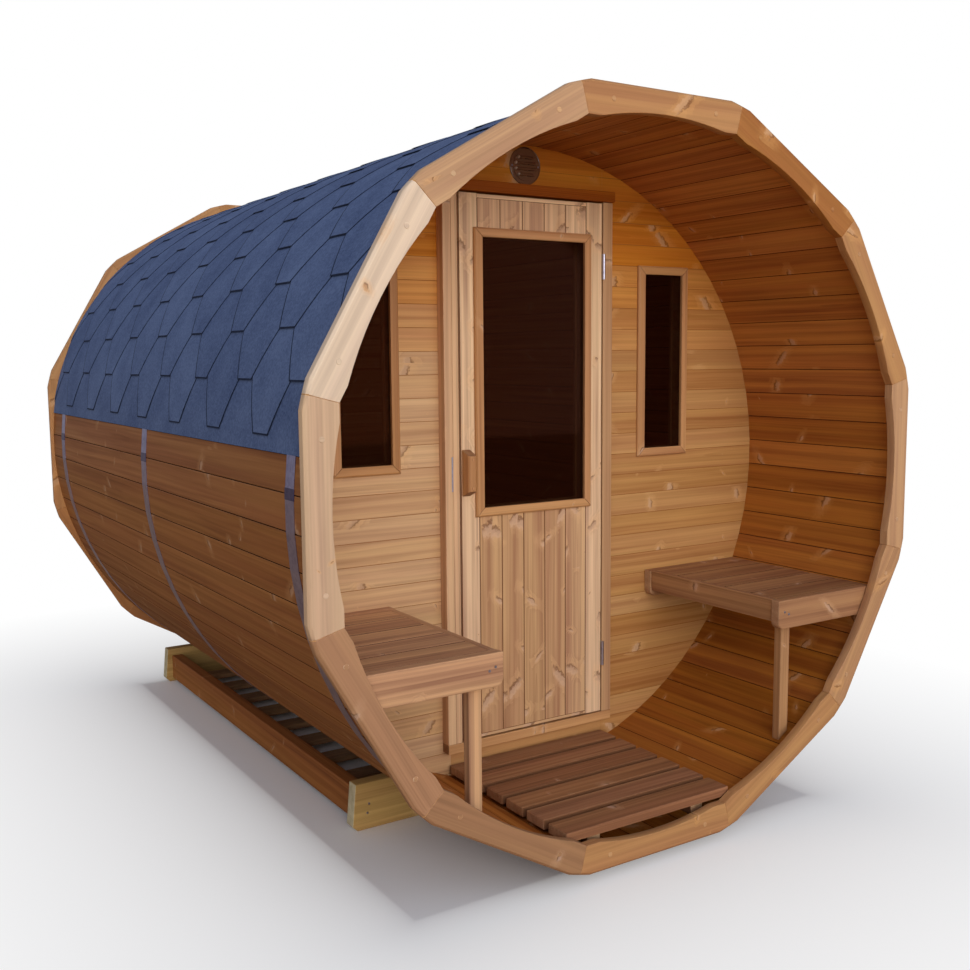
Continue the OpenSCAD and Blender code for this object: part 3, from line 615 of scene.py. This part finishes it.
def stave_painted_shade(board, number):
    """Tone of a stave: those near the ground are darker, as painted shade."""
    spread = random.Random(f"stave {number}").uniform(-STAVE_SPREAD, STAVE_SPREAD)
    return STAVE_TONE + STAVE_FALL * spoke(board).z + spread


def as_plank(board):
    """Directions along a ring plank and through its thickness."""
    return Y.cross(spoke(board)), Y


def ring_tone_and_sheen(board, number):
    """Tone of a plank of the front ring, from its place on the rim: its own tone, with the painted sheen of the
    upper left.
    """
    out = spoke(board)
    return RING_TONES[round(math.atan2(out.x, out.z) / PLANK_TURN) % PLANKS]


def low_left_painted_shade(piece):
    """Gives the faces at the lower left of the front ring a browner wood, as painted shade."""
    for face in piece.data.polygons:
        turn = math.atan2(face.center.x, face.center.z - axis_z)
        if face.material_index == 0 and LOW_LEFT[0] < turn < LOW_LEFT[1]:
            face.material_index = EXTRA


def rear_painted_shade(board, number):
    """Tone of a plank of the rear ring, kept dark as painted shade."""
    return random.Random(number).uniform(*REAR_TONES)


# %% Barrel
OUTWARD = 0.9
STAVE_SIDES = ("top", "upper_right", "right", "lower_right", "bottom", "lower_left", "left", "upper_left")
for side in STAVE_SIDES:
    piece = dressed("staves_" + side, "pine_staves_" + side, "stave_wood", 1.1 * MM, as_stave, along=Y,
                    segments=1, joint=BEVEL_ONLY, materials=woods("stave_wood") + [shaded_flank_wood],
                    shade_of=stave_painted_shade)
    # Faces that look outward take the flank wood, painted shade
    for face in piece.data.polygons:
        if face.normal.dot(Vector((face.center.x, 0, face.center.z - axis_z)).normalized()) > OUTWARD:
            face.material_index = EXTRA
for end, shade_of in (("front", ring_tone_and_sheen), ("rear", rear_painted_shade)):
    piece = dressed(end + "_ring", f"pine_ring_{end}", "ring_wood", 1.5 * MM, as_plank, shade_of=shade_of,
                    materials=woods("ring_wood") + [shaded_ring_wood])
    if end == "front":
        low_left_painted_shade(piece)

# %% [markdown]
# ## Plugs and screws
# Two wooden plugs close the screw holes of each ring plank. They and the bare screws elsewhere are short
# cones that stick out a millimetre.

# %% Round heads
HEAD_H = 1.2 * MM
HEAD_TAPER = 0.75
HEAD_TONE = 0.7
# Radii of plugs and screws
PLUG_SIZE, SMALL_PLUG_SIZE, SCREW_SIZE, SMALL_SCREW_SIZE = 8 * MM, 4.5 * MM, 4.5 * MM, 3.5 * MM


def round_heads(name, spots, radius, materials, body="sauna", shades=None):
    """Heads of plugs or screws. Each spot is a place on a surface and the way that surface faces."""
    bm = empty_mesh()
    for number, (place, facing) in enumerate(spots):
        turn = facing.to_track_quat("Z", "Y").to_matrix().to_4x4()
        made = bmesh.ops.create_cone(bm, cap_ends=True, segments=16, radius1=radius,
                                     radius2=HEAD_TAPER * radius, depth=2 * HEAD_H,
                                     matrix=Matrix.Translation(place) @ turn)
        bm.normal_update()
        shade = shades[number] if shades else HEAD_TONE
        lay_grain(bm, made["verts"], facing.cross(Z), facing, f"{name} {number}", shade=shade)
    return add_piece(name, bm, materials, body)


# %% Plugs of the rings
PLUG_CIRCLE = 1.004
PLUG_TURN = math.radians(10)
PLUG_PALER = 0.1
REAR_PLUG_TONE = 0.35
for end, face, facing in (("front", front_y, -Y), ("rear", cad_box[1].y, Y)):
    turns = [k * PLANK_TURN + side * PLUG_TURN for k in range(PLANKS) for side in (-1, 1)]
    spots = [(Vector((PLUG_CIRCLE * math.sin(a), face, axis_z + PLUG_CIRCLE * math.cos(a))), facing)
             for a in turns]
    # Plugs take the tones of their planks, painted sheen and shade included, a little paler on the front ring
    shades = [tone + PLUG_PALER if end == "front" else REAR_PLUG_TONE for tone in RING_TONES for _ in range(2)]
    piece = round_heads("ring_plugs_" + end, spots, PLUG_SIZE, [wood["ring_wood"]] * 3 + [shaded_ring_wood],
                        shades=shades)
    if end == "front":
        low_left_painted_shade(piece)

# %% [markdown]
# ## Walls
# The end walls are stacked from narrow tongued boards, so each wall is sawn into rows along its height.
# A plane cut with the outer side cleared, and the hole filled, gives one closed board. All parts of one
# row share their grain, so a board runs on past the door and the windows as it does on the real wall. Under
# the roof the front wall is painted darker and more golden in steps, row by row: painted shade from the roof
# over the terrace.

# %% Sawing a mesh into boards
BOARD_H = 69 * MM
SEAM_Z = axis_z - 184 * MM
JOINT_BEVEL = 0.8 * MM


def saw_off(bm, place, way):
    """Takes away what lies beyond a plane, and closes the cut."""
    cut = bmesh.ops.bisect_plane(bm, geom=bm.verts[:] + bm.edges[:] + bm.faces[:], plane_co=place,
                                 plane_no=way, clear_outer=True)
    rim = [e for e in cut["geom_cut"]
           if isinstance(e, bmesh.types.BMEdge) and e.is_valid and e.is_boundary]
    if rim:
        bmesh.ops.holes_fill(bm, edges=rim)


def slab(source, axis, low, high):
    """The part of a mesh between two planes across an axis, closed where it was cut, or None."""
    bm = source.copy()
    saw_off(bm, AXES[axis] * low, -AXES[axis])
    saw_off(bm, AXES[axis] * high, AXES[axis])
    if not bm.faces:
        bm.free()
        return None
    bmesh.ops.recalc_face_normals(bm, faces=bm.faces)
    return bm


def pour(total, bm):
    """Adds a mesh to another one."""
    mesh = bpy.data.meshes.new("poured")
    bm.to_mesh(mesh)
    bm.free()
    total.from_mesh(mesh)
    bpy.data.meshes.remove(mesh)


# %% Walls, row by row
SHADE_REACH = 7 * BOARD_H
SHADE_TONE = 0.6
ROW_SPREAD = 0.18
# Middle tones of the parts of the front wall. The left part is paler and the right darker: painted light and
# shade across the terrace
FRONT_TONES = {"left": 0.9, "right": 0.28, "over_door": 0.5, "under_door": 0.4}
REAR_TONE = 0.4
door_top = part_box("door_leaf")[1].z


def wall_rows(node, name, middle_tone, takes_painted_shade=True):
    """A wall sawn into rows of boards with tones about a middle value, which stands for its node. Rows under
    the roof get painted shade in steps.
    """
    source = merged_copy(node)
    low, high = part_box(node)
    first = math.floor((low.z - SEAM_Z) / BOARD_H)
    total = empty_mesh()
    for row in range(first, math.ceil((high.z - SEAM_Z) / BOARD_H)):
        foot = SEAM_Z + row * BOARD_H
        board = slab(source, 2, foot, foot + BOARD_H)
        if board is None:
            continue
        soften(board, JOINT_BEVEL, X, segments=1)
        board.normal_update()
        centre = Vector((0, low.y, foot + BOARD_H / 2))
        # Rows near and above the top of the door take more painted shade, step by step
        step = math.ceil(SHADE_STEPS * (1 + (centre.z - door_top) / SHADE_REACH))
        step = min(max(step, 0), SHADE_STEPS) if takes_painted_shade else 0
        shade = middle_tone + (SHADE_TONE - middle_tone) * step / SHADE_STEPS
        shade += random.Random(f"row {row}").uniform(-ROW_SPREAD, ROW_SPREAD)
        lay_grain(board, board.verts, X, Y, f"{name[:10]} {row}", centre, shade, BEVEL_ONLY)
        for face in board.faces:
            if step and face.material_index == 0:
                face.material_index = JOINT + step
        pour(total, board)
    source.free()
    return add_piece(name, total, woods("wall_wood", side=soft_joint) + painted_shade_woods,
                     stands_for=[node])


for part, middle_tone in FRONT_TONES.items():
    wall_rows("front_wall_" + part, "front_wall_boards_" + part, middle_tone)
wall_rows("rear_wall", "rear_wall_boards", REAR_TONE, takes_painted_shade=False)

# %% [markdown]
# ## Door and frame
# The leaf is a board door: two stiles, five upright boards between them, and a thin rail above and below.
# It is sawn from the leaf of the frame in the same way as the walls, and the boards meet in wider, darker
# joints. The stiles are the palest boards, and the leaf over the glass is painted paler, as painted light.
# Mitred strips hold the glass and a block serves as a handle.

# %% Door leaf
STILE_W = 65 * MM
TOP_RAIL = 14 * MM
LOW_RAIL = 12 * MM
LEAF_BOARDS = 5
LEAF_BEVEL = 1.5 * MM
STILE_TONE, LEAF_TONES, TOP_PAINTED_LIGHT = 1.0, (0.45, 0.7), 0.35
GLASS_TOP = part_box("door_glass")[1].z - 30 * MM
leaf_low, leaf_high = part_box("door_leaf")
leaf = merged_copy("door_leaf")
inner = [leaf_low.x + STILE_W, leaf_high.x - STILE_W]
middle = slab(leaf, 0, *inner)
field_z = [leaf_low.z + LOW_RAIL, leaf_high.z - TOP_RAIL]
field = slab(middle, 2, *field_z)
board_w = (inner[1] - inner[0]) / LEAF_BOARDS
parts = [(slab(leaf, 0, leaf_low.x, inner[0]), Z), (slab(leaf, 0, inner[1], leaf_high.x), Z),
         (slab(middle, 2, leaf_low.z, field_z[0]), X), (slab(middle, 2, field_z[1], leaf_high.z), X)]
parts += [(slab(field, 0, inner[0] + k * board_w, inner[0] + (k + 1) * board_w), Z)
          for k in range(LEAF_BOARDS)]
door = empty_mesh()
for number, (part, along) in enumerate(parts):
    soften(part, LEAF_BEVEL, along, segments=1)
    part.normal_update()
    shade = STILE_TONE if number < 2 else random.Random(f"leaf {number}").uniform(*LEAF_TONES)
    lay_grain(part, part.verts, along, Y, f"leaf {number}", shade=shade, joint=BEVEL_ONLY)
    tone = part.verts.layers.float["tone"]
    # Over the glass the leaf is painted paler: painted light
    for vert in part.verts:
        if vert.co.z > GLASS_TOP:
            vert[tone] += TOP_PAINTED_LIGHT
    pour(door, part)
for rest in (leaf, middle, field):
    rest.free()
add_piece("board_door", door, woods("door_wood", side=door_joint), "door", ["door_leaf"])

# %% Frame, trim and handle
def by_side(left, right, spread=0.0):
    """Tones for boards that lie on the left and on the right of the terrace."""
    def shade_of(board, number):
        tone = left if span(board)[0].x < 0 else right
        return tone + random.Random(f"bench {number}").uniform(-spread, spread)
    return shade_of


# The left jamb is painted paler than the right: painted light on the side the light comes from
dressed("door_jambs", "planed_jambs", "trim_wood", 2 * MM, materials=woods("trim_wood", jamb_wood),
        shade_of=by_side(1.0, 0.6))
# The header is darker and more saturated than the wall, with little gloss
dressed("door_header", "dark_header", "stave_wood", 3 * MM, materials=[header_wood, header_wood])
dressed("door_threshold", "horned_threshold", "trim_wood", 2 * MM)
dressed("door_trim", "mitred_door_trim", "trim_wood", 1.5 * MM, body="door")
dressed("door_handle", "handle_blocks", "trim_wood", 2.5 * MM, body="door")
for side in ("left", "right"):
    dressed("window_trim_" + side, "mitred_window_trim_" + side, "trim_wood", 1.5 * MM)
for node, material in (("door_glass", bronze_glass), ("window_glass_left", bronze_glass),
                       ("window_glass_right", bronze_glass), ("hoops", strap_steel), ("frame_hinges", zinc),
                       ("door_hinges", zinc)):
    nodes[node].data.materials.clear()
    nodes[node].data.materials.append(material)

# %% Plugs of the handle
PLUG_INSET = 28 * MM
handle_low, handle_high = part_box("door_handle")
handle_x = (handle_low.x + handle_high.x) / 2
spots = [(Vector((handle_x, handle_low.y, z)), -Y)
         for z in (handle_low.z + PLUG_INSET, handle_high.z - PLUG_INSET)]
round_heads("handle_plugs", spots, SMALL_PLUG_SIZE, woods("trim_wood"), "door")

# %% Strike plate on the latch jamb
STRIKE = (5 * MM, 2 * MM, 105 * MM)
STRIKE_X = -0.2935
jamb_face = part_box("door_jambs")[0].y


def add_block(bm, place, size):
    """A box of a size, moved by a matrix."""
    bmesh.ops.create_cube(bm, size=1, matrix=place @ Matrix.Diagonal((*size, 1)))


bm = bmesh.new()
add_block(bm, Matrix.Translation((STRIKE_X, jamb_face, axis_z)), STRIKE)
soften(bm, 0.5 * MM, segments=1)
add_piece("strike_plate", bm, [zinc])

# %% [markdown]
# ## Benches, floors and cradle
# The terrace has two slatted benches and a duckboard floor of planed boards, and the cabin behind the door
# has the same floor. The left bench, which gets more light, is the paler one. The cradle under the barrel is
# impregnated pine with dark stained bearers.

# %% Benches, floors and cradle
NOSE = 3 * MM
bench_tones = by_side(0.9, 0.35, 0.1)
for side in ("left", "right"):
    dressed(f"bench_{side}_frame", f"bench_beams_{side}", "bench_wood", 3 * MM, shade_of=bench_tones)
    dressed(f"bench_{side}_slats", f"bench_boards_{side}", "bench_wood", 2.5 * MM, joint=WHOLE_SIDE,
            materials=woods("bench_wood", side=slat_side_dust_and_shade), shade_of=bench_tones)
for place in ("terrace", "cabin"):
    piece = dressed(f"{place}_floor", f"duckboard_{place}", "bench_wood", 2.5 * MM, joint=WHOLE_SIDE,
                    materials=woods("bench_wood", floor_wood, floor_side_dust_and_shade))
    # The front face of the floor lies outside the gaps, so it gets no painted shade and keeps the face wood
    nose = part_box(f"{place}_floor")[0].y + NOSE
    for face in piece.data.polygons:
        if face.material_index == JOINT and face.center.y < nose:
            face.material_index = 0
for end in ("front", "rear"):
    dressed(f"cradle_beam_{end}", f"saddle_beam_{end}", "cradle_wood", 3 * MM)
dressed("cradle_bearers", "stained_bearers", "bearer_wood", 3 * MM)
dressed("cradle_slats", "dusty_cradle_boards", "bearer_wood", 2 * MM, materials=[slat_wood, slat_wood])

# %% Screws of the benches and the cradle
# Places of screws aside of the barrel's axis and below it
BENCH_SCREWS = ((0.519, 0.419), (0.537, 0.427))
BEAM_SCREWS = ((0.568, 0.982), (0.574, 1.010))
bench_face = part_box("bench_left_frame")[0].y
spots = []
for side in (-1, 1):
    spots += [(Vector((side * x, bench_face, axis_z - z)), -Y) for x, z in BENCH_SCREWS]
    for end, way in (("front", -1), ("rear", 1)):
        beam_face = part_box("cradle_beam_" + end)[0 if way < 0 else 1].y
        spots += [(Vector((side * x, beam_face, axis_z - z)), Y * way) for x, z in BEAM_SCREWS]
round_heads("frame_screws", spots, SCREW_SIZE, [zinc] * 2)

# %% [markdown]
# ## Vent and hoop seals
# The round vent is pressed from steel sheet, with four hooded louvres and a rolled rim. Its form is in the
# frame, so a copy of it is softened, and a rim is spun round it from a small circle. Behind the wall and
# under the hoods it is painted dark, as painted shade. Each hoop is closed by a crimped seal on the left flank.

# %% Vent
RIM_R = 2.2 * MM
RIM_INSET = 2 * MM
HOOD_FROM = 2.5 * MM
FACES_DOWN = -0.3
vent = merged_copy("vent_grille")
vent_low, vent_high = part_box("vent_grille")
vent_mid = (vent_low + vent_high) / 2
wall_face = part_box("front_wall_left")[0].y
soften(vent, 0.4 * MM, segments=1)
rim_at = Vector((vent_mid.x, wall_face - RIM_INSET, vent_high.z - RIM_INSET))
bmesh.ops.create_circle(vent, segments=10, radius=RIM_R,
                        matrix=Matrix.Translation(rim_at) @ Matrix.Rotation(math.pi / 2, 4, "Y"))
ring_edges = [e for e in vent.edges if e.is_wire]
bmesh.ops.spin(vent, geom=ring_edges + list({v for e in ring_edges for v in e.verts}), cent=vent_mid, axis=Y,
               angle=2 * math.pi, steps=48, use_merge=True)
bmesh.ops.recalc_face_normals(vent, faces=vent.faces)
# Faces behind the wall and under the hoods get the dark colour: painted shade
for face in vent.faces:
    middle = face.calc_center_median()
    if middle.y > wall_face or (middle.y < wall_face - HOOD_FROM and face.normal.z < FACES_DOWN):
        face.material_index = 1
add_piece("louvred_vent", vent, [vent_lacquer, vent_shade], stands_for=["vent_grille"])

# %% Rounded ends of the louvres, bright steel on the left as a painted glint
# Height of each hood's lower edge over the middle of the vent, and half its length
HOODS = ((-30 * MM, 27 * MM), (-13 * MM, 37 * MM), (4 * MM, 37 * MM), (21 * MM, 27 * MM))
END_SIZE = Matrix.Diagonal((5 * MM, 5.5 * MM, 5 * MM, 1))
END_OUT, END_UP = 6.5 * MM, 4 * MM
VENT_SCREW_X = 48 * MM
bm = bmesh.new()
for low, half in HOODS:
    for side in (-1, 1):
        place = Matrix.Translation((side * half, wall_face - END_OUT, vent_mid.z + low + END_UP))
        made = bmesh.ops.create_uvsphere(bm, u_segments=12, v_segments=8, radius=1, matrix=place @ END_SIZE)
        for face in {face for vert in made["verts"] for face in vert.link_faces}:
            # Only the left ends get bright steel, as a painted glint; the right ends are lacquer
            face.material_index = 0 if side < 0 else 1
            face.smooth = True
add_piece("louvre_ends", bm, [glinting_steel, vent_lacquer])
spots = [(Vector((side * VENT_SCREW_X, wall_face - RIM_INSET, vent_mid.z)), -Y) for side in (-1, 1)]
round_heads("vent_screws", spots, SMALL_SCREW_SIZE, [zinc] * 2)

# %% Hoop seals
SEAL = (2 * MM, 54 * MM, 28 * MM)
SEAL_TURN = math.radians(-87.5)
# Distances of the three hoops from the front
HOOP_PLACES = (0.115, 1.291, 2.440)
hoop_r = (hoop_high.x - hoop_low.x) / 2
bm = bmesh.new()
for mid_y in HOOP_PLACES:
    turn = Matrix.Translation((0, front_y + mid_y, axis_z)) @ Matrix.Rotation(SEAL_TURN + math.pi / 2, 4, "Y")
    add_block(bm, turn @ Matrix.Translation((-hoop_r, 0, 0)), SEAL)
soften(bm, 0.6 * MM, segments=1)
add_piece("hoop_seals", bm, [seal_steel])

# %% [markdown]
# ## Shingles
# The roof is laid with hexagonal bitumen tabs in staggered courses, from a straight strip at the eave up
# to the ridge, where caps close it. One tab is drawn flat as six corners, thickened, cut into strips so
# that it can bend, and wrapped on the barrel course by course. Its lower edge rides up on the course
# below. A slightly larger dark sheet under each tab draws the dark line round it: a painted shadow under its
# edges.

# %% Wrapping a flat shape on the roof
ROOF_R = 1.0224
EAVE = math.radians(82.5)
EXPOSURE = math.radians(7.45)
FIRST_FLAT = math.radians(80.3)
TAB_PITCH = 338 * MM
FLAT_HALF = 44 * MM
TAB_SLOPE = 79 / 136
TAB_T = 2.4 * MM
TAB_LIFT = 4.5 * MM
EDGE_LINE = 2.6 * MM
STRIP = 46 * MM
COURSE = ROOF_R * EXPOSURE
TAB_LEN = 2 * COURSE + 40 * MM
roof_low, roof_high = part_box("roof_left")


def toned_mesh():
    """A mesh with a layer for tone."""
    bm = bmesh.new()
    bm.verts.layers.float.new("tone")
    return bm


def tab_shape(outline, thick=TAB_T, drop=0.0, material=0):
    """A flat sheet in X (along the barrel) and Y (up the slope), thickened downwards and cut into strips."""
    bm = toned_mesh()
    face = bm.faces.new([bm.verts.new((x, y, -drop)) for x, y in outline])
    grown = bmesh.ops.extrude_face_region(bm, geom=[face])["geom"]
    lower = [part for part in grown if isinstance(part, bmesh.types.BMVert)]
    bmesh.ops.translate(bm, verts=lower, vec=(0, 0, -thick))
    bottom, top = min(y for _, y in outline), max(y for _, y in outline)
    for k in range(1, math.ceil((top - bottom) / STRIP)):
        bmesh.ops.bisect_plane(bm, geom=bm.verts[:] + bm.edges[:] + bm.faces[:],
                               plane_co=Y * (bottom + k * STRIP), plane_no=Y)
    bmesh.ops.recalc_face_normals(bm, faces=bm.faces)
    for face in bm.faces:
        face.material_index = material
    return bm


def wrap(bm, side, foot, along, shade, lift=TAB_LIFT, length=TAB_LEN):
    """Bends a flat sheet round the barrel, with its lower edge at an angle from the ridge."""
    tone = bm.verts.layers.float["tone"]
    for vert in bm.verts:
        radius = ROOF_R + vert.co.z + lift * max(0.0, 1 - vert.co.y / length)
        angle = side * (foot - vert.co.y / ROOF_R)
        vert.co = Vector((radius * math.sin(angle), along + vert.co.x, axis_z + radius * math.cos(angle)))
        vert[tone] = shade
    bmesh.ops.recalc_face_normals(bm, faces=bm.faces)


# %% Courses of tabs
COURSES = int(FIRST_FLAT / EXPOSURE) + 1
FIRST_TAB = {0: 308 * MM, 1: 143 * MM}
EDGE_T, EDGE_DROP = 1 * MM, 0.6 * MM
STRIP_TONE, STRIP_LIFT = 0.5, 1.5 * MM
# Tabs are nailed by hand: how far one may slip up or down, in radians, and along the barrel, in mm
FOOT_SLIP, SIDE_SLIP = 0.0012, 2
half = TAB_PITCH / 2
meet = (half - FLAT_HALF) / TAB_SLOPE
tab = tab_shape([(-FLAT_HALF, 0), (FLAT_HALF, 0), (half, meet), (half, TAB_LEN), (-half, TAB_LEN),
                 (-half, meet)])
# The painted shadow line is broader under a tab and on the side towards the rear
fore, aft, line = FLAT_HALF + EDGE_LINE, FLAT_HALF + 2 * EDGE_LINE, -1.6 * EDGE_LINE
under = tab_shape([(-fore, line), (aft, line), (half, meet - 3 * EDGE_LINE), (half, TAB_LEN), (-half, TAB_LEN),
                   (-half, meet - EDGE_LINE)], thick=EDGE_T, drop=EDGE_DROP, material=1)
strip_top = 2 * COURSE
length = roof_high.y - roof_low.y
draw = random.Random("shingles")
for side, name in ((-1, "left"), (1, "right")):
    roof = toned_mesh()
    strip = tab_shape([(0, 0), (length, 0), (length, strip_top), (0, strip_top)])
    wrap(strip, side, EAVE, roof_low.y, STRIP_TONE, lift=STRIP_LIFT, length=strip_top)
    pour(roof, strip)
    for course in range(COURSES):
        start = front_y + FIRST_TAB[course % 2] - 2 * TAB_PITCH
        for k in range(math.ceil(length / TAB_PITCH) + 4):
            foot = FIRST_FLAT - course * EXPOSURE + draw.uniform(-1, 1) * FOOT_SLIP
            along = start + k * TAB_PITCH + draw.uniform(-SIDE_SLIP, SIDE_SLIP) * MM
            shade = draw.random()
            for shape in (under, tab):
                sheet = shape.copy()
                wrap(sheet, side, foot, along, shade)
                for place, way in ((Y * roof_low.y, -Y), (Y * roof_high.y, Y), (Vector(), X * -side)):
                    saw_off(sheet, place, way)
                pour(roof, sheet)
    add_piece("hexagon_shingles_" + name, roof, [bitumen, tab_shadow_sheet], stands_for=["roof_" + name])
tab.free()
under.free()

# %% Ridge caps
CAP_HALF = 120 * MM
CAP_LEN = 216 * MM
CAP_GAP = 1 * MM
CAP_LIFT = 5.6 * MM
caps = toned_mesh()
count = math.ceil(length / CAP_LEN)
step = length / count
for k in range(count):
    cap = tab_shape([(CAP_GAP, -CAP_HALF), (step - CAP_GAP, -CAP_HALF), (step - CAP_GAP, CAP_HALF),
                     (CAP_GAP, CAP_HALF)])
    wrap(cap, 1, 0.0, roof_low.y + k * step, draw.random(), lift=CAP_LIFT, length=math.inf)
    pour(caps, cap)
add_piece("ridge_caps", caps, [bitumen])
